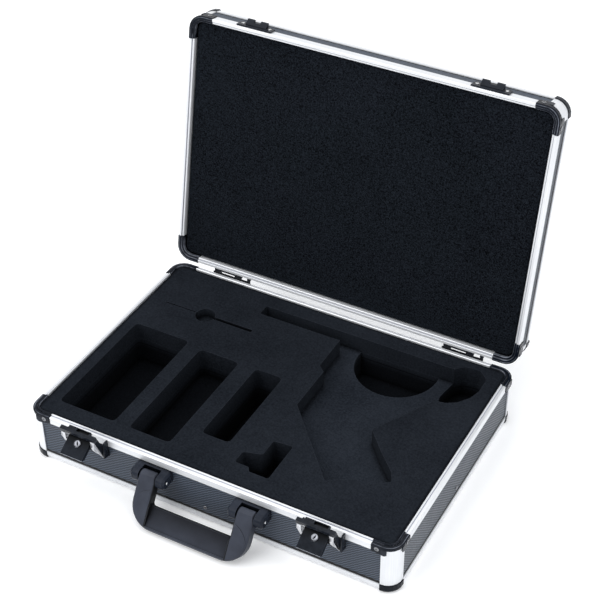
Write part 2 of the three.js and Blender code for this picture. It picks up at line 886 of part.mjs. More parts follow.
// The frame has straight outer cheeks, bulged inner ones, a bar and a hook behind it
function latchFrame() {
  const { frameHalf, barBottom, barTop, barOut, flangeWall, flangeDeep, tabFrom, tabTo, hookTo } = latch;
  const foot = -latch.pivotBelow - latch.footDrop;
  const backEdge = [
    [-latch.backOut - latch.footCut, foot],
    [-latch.backOut, foot + latch.footCut],
    [-latch.backOut, -latch.backBend],
    [flangeDeep - barOut, barTop],
    [-barOut, barTop],
    [-barOut, barBottom],
  ];
  const straight = wound([...backEdge, [-latch.footOut, foot]]);
  const bulged = wound([
    ...backEdge,
    [-latch.linkHighOut, latch.linkHigh],
    [-latch.linkLowOut, -latch.linkLow],
    [-latch.footOut, foot],
  ]);
  const seam = frameHalf - latch.cheekWall;
  const inside = seam - latch.linkWall;
  const flangeLow = barTop - flangeWall;
  const tabEnd = latch.tabDeep - barOut;
  const tabTop = barTop - latch.tabDrop;
  const hookWall = latch.hookWall;
  const mouth = latch.hookMouth - barOut;
  const axle = rodX(latch.pin, -frameHalf, frameHalf, -latch.leverOut, latch.leverUp, latch.sides);
  let solid = joined(
    prismX(straight, -frameHalf, -seam),
    prismX(bulged, -seam, -inside),
    prismX(bulged, inside, seam),
    prismX(straight, seam, frameHalf),
    box(-frameHalf, frameHalf, -barOut, latch.barWall - barOut, barBottom, barTop),
    box(-frameHalf, frameHalf, -barOut, flangeDeep - barOut, flangeLow, barTop),
    box(tabFrom, tabTo, -barOut, tabEnd, tabTop - flangeWall, tabTop),
    box(tabTo - hookWall, hookTo + hookWall, -barOut, tabEnd, hookFloor, tabTop),
    axle,
  );
  const trough = box(tabTo, hookTo, mouth, tabEnd - hookWall, hookFloor + hookWall, barTop * 2);
  solid = solid.subtract(toSolid(trough));
  const boreReach = frameHalf * 2;
  const bore = rodX(latch.bore, -boreReach, boreReach, -latch.pivotOut, -latch.pivotBelow, latch.sides);
  return toGeometry(solid.subtract(toSolid(bore)));
}

// The lever is a cover with two side walls. It hangs from its axle, at y 0 and z 0
function latchLever() {
  const { leverHalf, leverLong, leverWall, leverKnuckle, leverSide, leverNose, lockProud } = latch;
  const face = -leverKnuckle;
  const sideEnd = latch.leverDeep - leverKnuckle;
  const wall = wound([
    [face, 0],
    [sideEnd, 0],
    [sideEnd, leverNose - leverLong],
    [leverWall + face, -leverLong],
    [face, -leverLong],
  ]);
  const lockLong = leverWall + lockProud;
  const lock = new THREE.CylinderGeometry(latch.lockRadius, latch.lockRadius, lockLong, latch.sides);
  lock.translate(0, face - lockProud + lockLong / 2, -latch.lockDown);
  let solid = joined(
    box(-leverHalf, leverHalf, face, leverWall + face, -leverLong, 0),
    prismX(wall, -leverHalf, leverSide - leverHalf),
    prismX(wall, leverHalf - leverSide, leverHalf),
    rodX(leverKnuckle, -leverHalf, leverHalf, 0, 0, latch.sides),
    lock,
  );
  const boreReach = leverHalf * 2;
  solid = solid.subtract(toSolid(rodX(latch.bore, -boreReach, boreReach, 0, 0, latch.sides)));
  return toGeometry(solid);
}

// Keeper on the front of the lid, in the lid's own depths from its rim plane
function latchKeeper() {
  const { half, wall, from, to, cornerCut, catchHalf, catchFrom, catchOut, catchBack, catchNose } = keeper;
  const outline = [
    [-half, from], [half, from], [half, to - cornerCut], [half - cornerCut, to],
    [cornerCut - half, to], [-half, to - cornerCut],
  ];
  const plate = prism(outline, 0, wall).rotateX(quarterTurn).translate(0, -fit, 0);
  const block = [
    [-fit, catchFrom], [-fit, keeperCatchTop], [-catchOut, keeperCatchTop],
    [-catchOut, keeperCatchTop - catchNose], [-catchBack - fit, catchFrom],
  ];
  const solid = joined(plate, prismX(block, -catchHalf, catchHalf));
  const { notchHalf, notchOut } = keeper;
  const notch = box(-notchHalf, notchHalf, -catchOut * 2, -notchOut, 0, keeperCatchTop * 2);
  return toGeometry(solid.subtract(toSolid(notch)));
}

// Assembly
const part = new THREE.Group();

const base = caseHalf('base', baseHeight, tongueMating, (name) => flippedName[name]);
base.rotation.x = Math.PI;
base.position.z = baseHeight;
part.add(base);
part.add(mesh('foam_insert', foamInsert(), blackFoam));

const lidRim = baseHeight + closedGap;
const hingeY = halfDepth + hinge.offset;
const hingeZ = baseHeight + hinge.rise;
const lidPivot = new THREE.Group();
lidPivot.position.set(0, hingeY, hingeZ);
lidPivot.rotation.x = THREE.MathUtils.degToRad(-lidOpening);
const lidPlace = new THREE.Group();
lidPlace.position.set(0, -hingeY, -hingeZ);
lidPivot.add(lidPlace);
const lid = caseHalf('lid', lidHeight, lipMating, (name) => name);
lid.position.z = lidRim;
lid.add(mesh('lid_lining', lidLining(), liningFoam));
lidPlace.add(lid);
part.add(lidPivot);

const leaves = hingePair();
for (const [side, place] of [['left', -1], ['right', 1]]) {
  const latchX = place * (halfWidth - latch.fromSide);
  const baseLeaf = mesh(`hinge_${side}_base_leaf`, leaves.base, blackSteel);
  baseLeaf.position.set(place * (halfWidth - hinge.fromSide), hingeY, hingeZ);
  part.add(baseLeaf);
  const lidLeaf = mesh(`hinge_${side}_lid_leaf`, leaves.lid, blackSteel);
  lidLeaf.position.set(place * (halfWidth - hinge.fromSide), hingeY, hingeZ);
  lidPlace.add(lidLeaf);

  const bracketMesh = mesh(`handle_bracket_${side}`, handleBracket(), blackPlastic);
  bracketMesh.position.set(place * bracketCentre, -halfDepth - handle.pivotOut, handlePivot);
  part.add(bracketMesh);

  const plate = mesh(`latch_${side}_plate`, latchPlate(), blackSteel);
  plate.position.set(latchX, -halfDepth, baseHeight);
  part.add(plate);
  const framePivot = new THREE.Group();
  framePivot.position.set(latchX, -halfDepth - latch.pivotOut, baseHeight - latch.pivotBelow);
  framePivot.rotation.x = THREE.MathUtils.degToRad(latch.frameOpen);
  const frame = mesh(`latch_${side}_frame`, latchFrame(), blackSteel);
  frame.position.set(0, latch.pivotOut, latch.pivotBelow);
  framePivot.add(frame);
  const lever = mesh(`latch_${side}_lever`, latchLever(), blackPlastic);
  lever.position.set(0, latch.pivotOut - latch.leverOut, latch.pivotBelow + latch.leverUp);
  lever.rotation.x = THREE.MathUtils.degToRad(-latch.leverOpen);
  framePivot.add(lever);
  part.add(framePivot);

  const strike = mesh(`keeper_${side}`, latchKeeper(), blackSteel);
  strike.position.set(latchX, -halfDepth, 0);
  lid.add(strike);
}

const grip = mesh('handle', handleBody(), blackPlastic);
grip.position.set(0, -halfDepth - handle.pivotOut, handlePivot);
grip.rotation.x = -handleLean();
part.add(grip);

const bounds = new THREE.Box3().setFromObject(part, true);
for (const piece of part.children) piece.position.y -= (bounds.min.y + bounds.max.y) / 2;

export default part;
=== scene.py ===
import json
import math

import bpy
from mathutils import Matrix, Vector


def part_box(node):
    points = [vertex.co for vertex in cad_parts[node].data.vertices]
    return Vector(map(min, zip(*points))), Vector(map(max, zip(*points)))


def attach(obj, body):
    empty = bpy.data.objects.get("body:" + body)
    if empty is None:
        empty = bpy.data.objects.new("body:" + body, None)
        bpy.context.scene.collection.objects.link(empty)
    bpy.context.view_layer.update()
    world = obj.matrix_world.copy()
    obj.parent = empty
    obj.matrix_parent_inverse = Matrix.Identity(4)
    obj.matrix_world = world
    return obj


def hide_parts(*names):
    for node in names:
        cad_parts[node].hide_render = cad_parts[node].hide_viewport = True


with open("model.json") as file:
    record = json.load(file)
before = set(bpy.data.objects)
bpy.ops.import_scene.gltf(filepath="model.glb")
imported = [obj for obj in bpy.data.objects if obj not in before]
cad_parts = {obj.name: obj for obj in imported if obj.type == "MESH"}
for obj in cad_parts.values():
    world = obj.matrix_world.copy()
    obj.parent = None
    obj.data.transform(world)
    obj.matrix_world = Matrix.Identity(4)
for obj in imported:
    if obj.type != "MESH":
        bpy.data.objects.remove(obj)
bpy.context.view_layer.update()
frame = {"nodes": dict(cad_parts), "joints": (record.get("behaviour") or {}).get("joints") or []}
nodes = frame["nodes"]
print("frame loaded:", len(nodes), "nodes")

mm = 0.001
sides = (("left", -1), ("right", 1))


def jointSpot(name):
    joint = [joint for joint in frame["joints"] if joint["name"] == name][0]
    return Vector(joint["pos_m"])


# where the closed case stands, read from the frame
boardLow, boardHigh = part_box("base_boards")
caseY = (boardLow.y + boardHigh.y) / 2
lidHinge = jointSpot("lid_hinge")

# how far the lid and the levers stand open
lidOpen = math.radians(101.1)
leverOpen = math.radians(59)

# closed, in millimetres; latch is how far the latches stand to either side of the middle
case = {"halfWidth": 226, "halfDepth": 156, "rim": 67, "lidRim": 67.3, "corner": 17, "latch": 144}


def at(x, y, z):
    # a place on the base in millimetres from the middle of its underside
    return Vector((x * mm, y * mm + caseY, z * mm))


def turnX(angle, centre):
    there = Matrix.Translation(centre)
    return there @ Matrix.Rotation(angle, 4, "X") @ there.inverted()


# carries a closed lid's place to where the lid stands open
openLid = turnX(-lidOpen, lidHinge)


def standing(half, place):
    # from a place on the closed case to the same place as its half stands
    return openLid @ place if half == "lid" else place


def endName(sx, end):
    # which end of a pair on one side is nearer the middle of the case
    return "inner" if end * sx < 0 else "outer"


class Recipe:
    # a small hand for wiring one material
    def __init__(self, name):
        self.material = bpy.data.materials.new(name)
        self.material.use_nodes = True
        self.tree = self.material.node_tree
        self.tree.nodes.clear()
        self.bsdf = self.add("ShaderNodeBsdfPrincipled")
        self.link(self.bsdf.outputs[0], self.add("ShaderNodeOutputMaterial").inputs["Surface"])
        self.coords = self.add("ShaderNodeTexCoord").outputs["Object"]

    def add(self, kind, **values):
        node = self.tree.nodes.new(kind)
        for key, value in values.items():
            if hasattr(node, key):
                setattr(node, key, value)
            else:
                node.inputs[key.replace("_", " ")].default_value = value
        return node

    def link(self, a, b):
        self.tree.links.new(a, b)

    def feed(self, socket, value):
        # a number or a colour goes on the socket itself, anything else is wired to it
        if isinstance(value, (int, float)):
            socket.default_value = value
        elif isinstance(value, tuple):
            socket.default_value = (*value, 1)
        else:
            self.link(value, socket)

    def turned(self, turn, move):
        mapping = self.add("ShaderNodeMapping", Rotation=turn, Location=move)
        self.link(self.coords, mapping.inputs["Vector"])
        return mapping.outputs[0]

    def axes(self, vector):
        # the X, Y and Z of a place or a normal
        node = self.add("ShaderNodeSeparateXYZ")
        self.link(vector, node.inputs[0])
        return node.outputs

    def noiseOf(self, scale, detail=3, rough=0.5, source=None):
        node = self.add("ShaderNodeTexNoise", Scale=scale, Detail=detail, Roughness=rough)
        self.link(source or self.coords, node.inputs["Vector"])
        return node.outputs["Fac"]

    def ramp(self, value, *stops):
        node = self.add("ShaderNodeValToRGB")
        for element, (place, colour) in zip(node.color_ramp.elements, stops):
            element.position = place
            element.color = (*colour, 1)
        self.link(value, node.inputs["Fac"])
        return node.outputs["Color"]

    def span(self, value, low, high, start=0, end=1):
        # start becomes low and end becomes high, and values past them stay at low or high
        node = self.add("ShaderNodeMapRange", From_Min=start, From_Max=end, To_Min=low, To_Max=high)
        self.link(value, node.inputs["Value"])
        return node.outputs["Result"]

    def math(self, how, a, b=0):
        node = self.add("ShaderNodeMath", operation=how)
        for socket, value in zip(node.inputs, (a, b)):
            self.feed(socket, value)
        return node.outputs[0]

    def between(self, value, low, high):
        # 1 from low to high, 0 outside them
        above = self.math("GREATER_THAN", value, low)
        return self.math("MULTIPLY", above, self.math("LESS_THAN", value, high))

    def band(self, value, centre, half, soft):
        # 1 inside a band of width 2 * half, 0 outside it
        away = self.math("ABSOLUTE", self.math("SUBTRACT", value, centre))
        node = self.add("ShaderNodeMapRange", interpolation_type="SMOOTHSTEP",
                        From_Min=half, From_Max=half + soft, To_Min=1, To_Max=0)
        self.link(away, node.inputs["Value"])
        return node.outputs["Result"]

    def along(self, place, pivot, out, up):
        # how far a place lies from a pivot in one direction of the side view, out and up
        outward = self.math("SUBTRACT", pivot[0], place["Y"])
        upward = self.math("SUBTRACT", place["Z"], pivot[1])
        return self.math("ADD", self.math("MULTIPLY", outward, out), self.math("MULTIPLY", upward, up))

    def fromOutside(self, place):
        # how far in from the case's rounded outline a place lies
        past = []
        for value, half in ((place["X"], case["halfWidth"]),
                            (self.math("SUBTRACT", place["Y"], caseY), case["halfDepth"])):
            over = self.math("SUBTRACT", self.math("ABSOLUTE", value), (half - case["corner"]) * mm)
            over = self.math("MAXIMUM", over, 0)
            past.append(self.math("MULTIPLY", over, over))
        reach = self.math("SQRT", self.math("ADD", *past))
        return self.math("SUBTRACT", case["corner"] * mm, reach)

    def blendOf(self, share, first, second):
        # a colour that goes from the first to the second as the share goes from 0 to 1
        node = self.add("ShaderNodeMix", data_type="RGBA")
        self.link(share, node.inputs[0])
        self.feed(node.inputs[6], first)
        self.feed(node.inputs[7], second)
        return node.outputs[2]

    def mixOf(self, share, first, second):
        # the same for a number, and the share may be a number too
        node = self.add("ShaderNodeMix", data_type="FLOAT")
        self.feed(node.inputs[0], share)
        self.feed(node.inputs[2], first)
        self.feed(node.inputs[3], second)
        return node.outputs[0]

    def dim(self, colour, share):
        node = self.add("ShaderNodeMix", data_type="RGBA", blend_type="MULTIPLY")
        self.feed(node.inputs[0], 1)
        self.feed(node.inputs[6], colour)
        self.feed(node.inputs[7], (share, share, share))
        return node.outputs[2]

    def cornerShadeEdgeSheen(self, colour, look):
        # painted shade darkens where faces meet in a corner, and a painted highlight, partly wear, makes the
        # outer edges paler
        deep = self.add("ShaderNodeAmbientOcclusion", samples=8, Distance=look["shadeReach"])
        clear = self.span(deep.outputs["AO"], look["shadeLeast"], 1, *look["shadeFrom"])
        colour = self.blendOf(clear, (0, 0, 0), colour)
        thin = self.add("ShaderNodeAmbientOcclusion", samples=8, inside=True, only_local=True,
                        Distance=look["wearSheenReach"])
        wearAndSheen = self.span(thin.outputs["AO"], look["wearSheenMost"], 0, *look["wearSheenFrom"])
        return self.blendOf(wearAndSheen, colour, look["wearSheenColour"])

    def softEdge(self, radius):
        # sharp corners catch light as if they were rounded by this much
        return self.add("ShaderNodeBevel", samples=4, Radius=radius).outputs[0]

    def bump(self, height, strength, distance, below=None):
        node = self.add("ShaderNodeBump", Strength=strength, Distance=distance)
        self.link(height, node.inputs["Height"])
        if below:
            self.link(below, node.inputs["Normal"])
        self.link(node.outputs[0], self.bsdf.inputs["Normal"])
        return node.outputs[0]

    def coat(self, look):
        # the colour of a black coat and the cloud that it follows
        cloud = self.noiseOf(look["cloud"], 3, 0.6)
        return self.ramp(cloud, (0.35, look["dark"]), (0.7, look["light"])), cloud

    def finish(self, colour, cloud, look, rough=None):
        # the gloss and grain of a moulded or painted black piece
        self.link(colour, self.bsdf.inputs["Base Color"])
        self.link(rough or self.span(cloud, *look["rough"]), self.bsdf.inputs["Roughness"])
        self.feed(self.bsdf.inputs["Specular IOR Level"], look["gloss"])
        grain = self.noiseOf(look["grain"], 3, 0.6)
        self.bump(grain, *look["bump"], self.softEdge(look["edge"]))
        return self.material


# turn and move the open lid's coordinates back to the closed ones
lidTurn = (lidOpen, 0, 0)
lidMove = tuple(lidHinge - Matrix.Rotation(lidOpen, 3, "X") @ lidHinge)
unmoved = (0, 0, 0)

aluminiumLook = {
    "dark": (0.675, 0.69, 0.715),
    "light": (0.79, 0.80, 0.82),
    "rough": (0.34, 0.5),
    "metal": 0.5,
    "grainAcross": 1100,
    "grainAlong": 18,
    "cloud": 14,
    "cloudShare": 0.4,
    "bump": (0.12, 0.08 * mm),  # strength and depth
}
# painted shade in the groove beside the tongue, this far in from the outside
baseGrooveShade = {
    "in": 3.8 * mm,
    "half": 0.42 * mm,
    "soft": 0.12 * mm,
    "colour": (0.52, 0.54, 0.60),
    "low": 60 * mm,
    "high": 70 * mm,
}
# painted shade at the step behind the lid's lip
lidStepShade = {
    "in": 3.8 * mm,
    "half": 0.3 * mm,
    "soft": 0.2 * mm,
    "colour": (0.34, 0.35, 0.39),
    "low": 60 * mm,
    "high": 74 * mm,
}


def aluminium(name, lengthwise, turn=unmoved, move=unmoved, grooveShade=None):
    # brushed along the piece's length
    look = aluminiumLook
    recipe = Recipe(name)
    straight = recipe.turned(turn, move)
    scale = [look["grainAlong"] if axis == lengthwise else look["grainAcross"] for axis in "XYZ"]
    stretch = recipe.add("ShaderNodeMapping", Scale=scale)
    recipe.link(straight, stretch.inputs["Vector"])
    grain = recipe.noiseOf(1, 2, 0.5, stretch.outputs[0])
    cloud = recipe.noiseOf(look["cloud"], 2)
    mixed = recipe.mixOf(look["cloudShare"], grain, cloud)
    colour = recipe.ramp(mixed, (0.3, look["dark"]), (0.7, look["light"]))
    if grooveShade:
        place = recipe.axes(straight)
        # a painted shade line along the groove
        line = recipe.band(recipe.fromOutside(place), grooveShade["in"], grooveShade["half"], grooveShade["soft"])
        line = recipe.math("MULTIPLY", line, recipe.between(place["Z"], grooveShade["low"], grooveShade["high"]))
        colour = recipe.blendOf(line, colour, grooveShade["colour"])
    recipe.link(colour, recipe.bsdf.inputs["Base Color"])
    recipe.link(recipe.span(grain, *look["rough"]), recipe.bsdf.inputs["Roughness"])
    recipe.feed(recipe.bsdf.inputs["Metallic"], look["metal"])
    recipe.bump(grain, *look["bump"])
    return recipe.material


# the painted shade in inner corners and the painted highlight, partly wear, on outer edges: reach, strength,
# and the openness they run over
shadeSheenLook = {
    "shadeReach": 7 * mm,
    "shadeLeast": 0.08,
    "shadeFrom": (0.3, 0.85),
    "wearSheenReach": 0.9 * mm,
    "wearSheenMost": 0.75,
    "wearSheenFrom": (0.25, 0.7),
    "wearSheenColour": (0.060, 0.068, 0.086),
}
plasticLook = {
    **shadeSheenLook,
    "cloud": 30,
    "grain": 1800,
    "edge": 0.7 * mm,
    "bump": (0.25, 0.1 * mm),
}
capLook = {
    **plasticLook,
    "dark": (0.0035, 0.0055, 0.0100),
    "light": (0.0095, 0.0125, 0.0195),
    "rough": (0.14, 0.26),
    "gloss": 0.1,
}
bracketLook = {
    **plasticLook,
    "dark": (0.0085, 0.0115, 0.0190),
    "light": (0.0190, 0.0235, 0.0350),
    "rough": (0.2, 0.34),
    "gloss": 0.1,
    "wearSheenColour": (0.12, 0.13, 0.16),
}
steelLook = {
    **shadeSheenLook,
    "dark": (0.0040, 0.0055, 0.0090),
    "light": (0.0120, 0.0150, 0.0215),
    "rough": (0.2, 0.34),
    "gloss": 0.11,
    "cloud": 30,
    "grain": 900,
    "edge": 0.35 * mm,
    "bump": (0.25, 0.05 * mm),
}


def plainBlack(name, look):
    recipe = Recipe(name)
    colour, cloud = recipe.coat(look)
    return recipe.finish(recipe.cornerShadeEdgeSheen(colour, look), cloud, look)


rimCapLook = {
    **capLook,
    "cloud": 60,
    "patchy": (0.36, 0.62),  # the painted glints show more where the cloud is light
    "glintLines": ((0.9 * mm, 0.26 * mm), (3.9 * mm, 0.3 * mm), (6.6 * mm, 0.22 * mm)),  # how far in, half width
    "soft": 0.15 * mm,
    "glintColour": (0.19, 0.205, 0.24),
    "low": 62.5 * mm,
    "high": 71.5 * mm,
}


def glintedCap(name, look, turn=unmoved, move=unmoved):
    # painted highlights run round each cap beside the rim's lands, as glints on fine ridges
    recipe = Recipe(name)
    colour, cloud = recipe.coat(look)
    place = recipe.axes(recipe.turned(turn, move))
    inward = recipe.fromOutside(place)
    near = recipe.math("MULTIPLY", recipe.between(place["Z"], look["low"], look["high"]),
                       recipe.span(cloud, 0, 1, *look["patchy"]))
    for far, half in look["glintLines"]:
        line = recipe.math("MULTIPLY", recipe.band(inward, far, half, look["soft"]), near)
        colour = recipe.blendOf(line, colour, look["glintColour"])
    return recipe.finish(recipe.cornerShadeEdgeSheen(colour, look), cloud, look)


handleLook = {
    **plasticLook,
    "dark": (0.025, 0.0285, 0.040),
    "light": (0.041, 0.047, 0.064),
    "rough": (0.36, 0.52),
    "gloss": 0.15,
    "grain": 1500,
    "wearSheenReach": 1.4 * mm,
    "wearSheenColour": (0.125, 0.138, 0.165),
    "pivot": (-167.5 * mm, 49 * mm),
    "lean": math.radians(32.2),
}
gripLook = {
    "half": 49.2 * mm,
    "from": 27 * mm,
    "to": 52 * mm,
    "least": 0.16,
    "most": 0.84,
    "rough": 0.7,
    "gapShade": {"past": 0.4 * mm, "half": 0.8 * mm, "soft": 0.1 * mm, "colour": (0.001, 0.0015, 0.0025)},
}


def handlePlastic(name, look, grip):
    # the grip between the arms is duller, and painted shade makes it darker towards its deep upper end
    recipe = Recipe(name)
    colour, cloud = recipe.coat(look)
    place = recipe.axes(recipe.coords)
    across = recipe.math("ABSOLUTE", place["X"])
    pivot = (look["pivot"][0] + caseY, look["pivot"][1])
    reach = recipe.along(place, pivot, math.sin(look["lean"]), -math.cos(look["lean"]))
    within = recipe.math("MULTIPLY", recipe.math("LESS_THAN", across, grip["half"]),
                         recipe.math("LESS_THAN", reach, grip["to"]))
    # painted shade along the grip, from its upper end downwards
    shade = recipe.span(reach, grip["least"], grip["most"], grip["from"], grip["to"])
    colour = recipe.blendOf(within, colour, recipe.blendOf(shade, (0, 0, 0), colour))
    gapShade = grip["gapShade"]  # painted shade: the dark line between the grip and each arm
    line = recipe.band(across, grip["half"] + gapShade["past"], gapShade["half"], gapShade["soft"])
    colour = recipe.blendOf(line, colour, gapShade["colour"])
    rough = recipe.mixOf(within, recipe.span(cloud, *look["rough"]), grip["rough"])
    return recipe.finish(recipe.cornerShadeEdgeSheen(colour, look), cloud, look, rough)


leverLook = {
    **plasticLook,
    "dark": (0.0045, 0.0062, 0.0100),
    "light": (0.0125, 0.0155, 0.0215),
    "rough": (0.3, 0.46),
    "gloss": 0.06,
    "cloud": 120,
    "wearSheenColour": (0.10, 0.11, 0.135),
    "tip": (0.34, 0.36, 0.40),
    "tipFacing": 0.8,
    "shaded": (2 * mm, 12 * mm),
    "shade": 0.25,
}


def leverBlack(name, look):
    # painted shadow makes it darker under the bar, and a painted highlight makes the end face of each lever
    # paler than the rest
    recipe = Recipe(name)
    colour, cloud = recipe.coat(look)
    out, up = math.sin(leverOpen), -math.cos(leverOpen)
    axle = jointSpot("latch_right_lever_fold")
    reach = recipe.along(recipe.axes(recipe.coords), (axle.y, axle.z), out, up)
    # painted shadow under the bar, near the axle
    lit = recipe.span(reach, 0, 1, *look["shaded"])
    colour = recipe.blendOf(lit, recipe.dim(colour, look["shade"]), colour)
    normal = recipe.axes(recipe.add("ShaderNodeTexCoord").outputs["Normal"])
    # a painted highlight on the faces that point towards the lever's end
    tip = recipe.math("GREATER_THAN", recipe.along(normal, (0, 0), out, up), look["tipFacing"])
    colour = recipe.blendOf(tip, recipe.cornerShadeEdgeSheen(colour, look), look["tip"])
    return recipe.finish(colour, cloud, look)


boardLook = {
    "ground": (0.002, 0.004, 0.008),
    "rib": (0.076, 0.096, 0.132),
    "litSideGround": (0, 0, 0),
    "litSideRib": (0.128, 0.146, 0.178),
    "pitch": 2.66 * mm,
    "frontLean": 0.29,
    "sideLean": -0.99,
    "strong": 0.68,  # the share of the stronger set of ribs
    "swing": 0.75,  # the two waves together count as full height past this
    "crisp": (0.36, 0.64),  # the heights between which ground turns to rib
    "facing": 0.7,  # a face counts as flat or as an end wall past this
    "cloud": 60,
    "rough": (0.4, 0.55),
    "gloss": 0.3,
    "bump": (0.5, 0.35 * mm),
    "seam": (0.002, 0.002, 0.003),  # dark lines where the boards go into the extrusions
    "seamSoft": 0.2 * mm,
}
# height and half width of each seam
baseSeams = (
    (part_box("base_edge_front")[1].z + 1.2 * mm, 1.5 * mm),
    (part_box("base_rim_front")[0].z - 0.3 * mm, 0.3 * mm),
)
lidSeams = ((77.7 * mm, 0.4 * mm), (93.3 * mm, 0.7 * mm))  # on the closed lid


def board(name, look, seams, turn=unmoved, move=unmoved):
    # black laminate with two crossing sets of fine ribs, one stronger than the other
    recipe = Recipe(name)
    place = recipe.axes(recipe.turned(turn, move))
    straight = recipe.add("ShaderNodeVectorRotate", rotation_type="X_AXIS", Angle=turn[0])
    recipe.link(recipe.add("ShaderNodeTexCoord").outputs["Normal"], straight.inputs["Vector"])
    normal = recipe.axes(straight.outputs[0])
    flat = recipe.math("GREATER_THAN", recipe.math("ABSOLUTE", normal["Z"]), look["facing"])
    end = recipe.math("GREATER_THAN", recipe.math("ABSOLUTE", normal["X"]), look["facing"])
    across = recipe.mixOf(end, place["X"], place["Y"])
    down = recipe.mixOf(flat, place["Z"], place["Y"])
    drift = recipe.math("MULTIPLY", across, recipe.span(end, look["frontLean"], look["sideLean"]))
    ribs = []
    for how, share in (("SUBTRACT", look["strong"]), ("ADD", 1 - look["strong"])):
        phase = recipe.math("MULTIPLY", recipe.math(how, down, drift), 2 * math.pi / look["pitch"])
        ribs.append(recipe.math("MULTIPLY", recipe.math("COSINE", phase), share))
    height = recipe.span(recipe.math("ADD", *ribs), 0, 1, -look["swing"], look["swing"])
    # the end walls get their own lighter, stronger copy of the ribs: painted light
    ground = recipe.blendOf(end, look["ground"], look["litSideGround"])
    rib = recipe.blendOf(end, look["rib"], look["litSideRib"])
    colour = recipe.blendOf(recipe.span(height, 0, 1, *look["crisp"]), ground, rib)
    upright = recipe.math("SUBTRACT", 1, flat)
    for middle, half in seams:
        seam = recipe.band(place["Z"], middle, half, look["seamSoft"])
        colour = recipe.blendOf(recipe.math("MULTIPLY", seam, upright), colour, look["seam"])
    recipe.link(colour, recipe.bsdf.inputs["Base Color"])
    cloud = recipe.noiseOf(look["cloud"], 3)
    recipe.link(recipe.span(cloud, *look["rough"]), recipe.bsdf.inputs["Roughness"])
    recipe.feed(recipe.bsdf.inputs["Specular IOR Level"], look["gloss"])
    recipe.bump(height, *look["bump"])
    return recipe.material


bothFoams = {"cloud": 9, "fuzz": 0.6, "gloss": 0.04, "rough": 1}
foamLook = {
    **shadeSheenLook,
    **bothFoams,
    "dark": (0.0048, 0.0061, 0.0086),
    "light": (0.0170, 0.0203, 0.0265),
    "cloudShare": 0.4,
    "spread": 0.16,
    "pore": 700,
    "bump": (0.5, 0.35 * mm),
    # a thin line along the pockets' walls, taken for a glued joint
    "layer": {"height": 36 * mm, "half": 0.35 * mm, "colour": (0.0015, 0.002, 0.003)},
    "deepShade": (30 * mm, 43 * mm, 0.32),  # from, to, and how dark
    "cutFloor": {"height": 43.5 * mm, "half": 0.25 * mm, "soft": 0.1 * mm, "lift": 1.45},  # shallow recesses
    "edgeShade": (3.4 * mm, 0.28),  # how far in from the rims, and how dark
    "shadeReach": 9 * mm,
    "shadeLeast": 0.1,
    "wearSheenReach": 1.3 * mm,
    "wearSheenMost": 0.9,
    "wearSheenColour": (0.040, 0.046, 0.058),
}
liningLook = {
    **bothFoams,
    "dark": (0.0000, 0.0001, 0.0004),
    "light": (0.0130, 0.0165, 0.0222),
    "cloudShare": 0.1,
    "spread": 0.13,
    "pore": 950,
    "bump": (0.5, 1.0 * mm),
}


def cutShades(recipe, colour, look):
    # painted shade in deep pockets, bright recess floors, painted shade along the edge beside the rims, and
    # the line in the walls
    place = recipe.axes(recipe.coords)
    low, high, least = look["deepShade"]
    lit = recipe.span(place["Z"], 0, 1, low, high)
    colour = recipe.blendOf(lit, recipe.dim(colour, least), colour)
    cut = look["cutFloor"]
    floorBand = recipe.band(place["Z"], cut["height"], cut["half"], cut["soft"])
    colour = recipe.blendOf(floorBand, colour, recipe.dim(colour, cut["lift"]))
    lowCorner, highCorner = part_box("foam_insert")
    fromEnd = recipe.math("SUBTRACT", highCorner.x, recipe.math("ABSOLUTE", place["X"]))
    fromSide = recipe.math("ABSOLUTE", recipe.math("SUBTRACT", place["Y"], caseY))
    fromSide = recipe.math("SUBTRACT", (highCorner.y - lowCorner.y) / 2, fromSide)
    reach, least = look["edgeShade"]
    inside = recipe.span(recipe.math("MINIMUM", fromEnd, fromSide), 0, 1, 0, reach)
    colour = recipe.blendOf(inside, recipe.dim(colour, least), colour)
    layer = look["layer"]
    line = recipe.band(place["Z"], layer["height"], layer["half"], layer["half"])
    return recipe.cornerShadeEdgeSheen(recipe.blendOf(line, colour, layer["colour"]), look)


def foam(name, look):
    recipe = Recipe(name)
    cells = recipe.add("ShaderNodeTexVoronoi", Scale=look["pore"])
    recipe.link(recipe.coords, cells.inputs["Vector"])
    fuzz = recipe.noiseOf(look["pore"] * look["fuzz"], 4, 0.7)
    cloud = recipe.noiseOf(look["cloud"], 4, 0.65)
    mixed = recipe.mixOf(look["cloudShare"], fuzz, cloud)
    spread = look["spread"]
    colour = recipe.ramp(mixed, (0.5 - spread, look["dark"]), (0.5 + spread, look["light"]))
    if "layer" in look:
        colour = cutShades(recipe, colour, look)
    recipe.link(colour, recipe.bsdf.inputs["Base Color"])
    recipe.feed(recipe.bsdf.inputs["Roughness"], look["rough"])
    recipe.feed(recipe.bsdf.inputs["Specular IOR Level"], look["gloss"])
    pores = recipe.bump(cells.outputs["Distance"], *look["bump"])
    recipe.bump(fuzz, *look["bump"], pores)
    return recipe.material


metalLook = {"cloud": 260, "darker": 0.75, "bump": (0.1, 0.05 * mm)}
brightLook = {**metalLook, "colour": (0.72, 0.73, 0.75), "rough": (0.14, 0.3)}
lockLook = {**metalLook, "colour": (0.26, 0.27, 0.30), "rough": (0.2, 0.38)}
capScrewLook = {**metalLook, "colour": (0.22, 0.225, 0.24), "rough": (0.18, 0.32)}
bareLook = {**metalLook, "colour": (0.66, 0.67, 0.70), "rough": (0.3, 0.45)}


